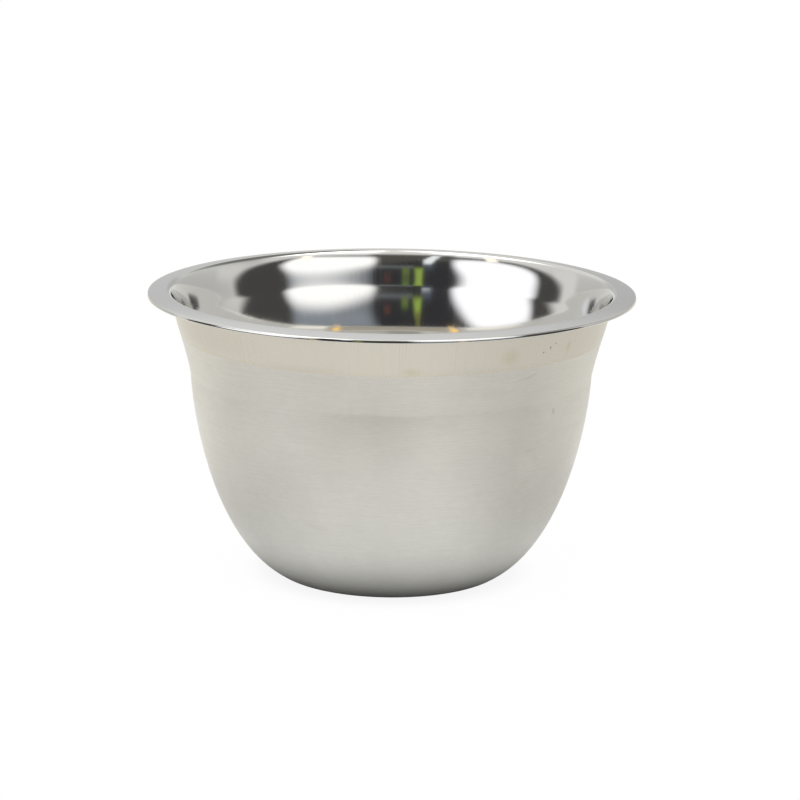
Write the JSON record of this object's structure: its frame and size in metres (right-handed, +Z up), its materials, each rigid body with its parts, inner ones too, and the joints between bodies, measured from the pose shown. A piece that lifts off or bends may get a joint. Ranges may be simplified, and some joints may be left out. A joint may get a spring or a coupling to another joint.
{
  "type": "shaving bowl",
  "caption": "Deep round shaving bowl pressed from one steel sheet: satin outside, mirror inside, stepped collar, turned-out lip.",
  "frame": {"origin": "centre of the flat ring that the bowl stands on, in the standing plane", "axes": "+Z up along the bowl's axis, out of its mouth; X and Y are alike"},
  "size_m": [0.112, 0.112, 0.0664],
  "materials": {
    "bowl_steel": "stainless steel: satin brushed round the outside, buffed collar, mirror-polished inside and lip"
  },
  "bodies": {
    "root": {"bowl": "bowl_steel"}
  },
  "joints": []
}
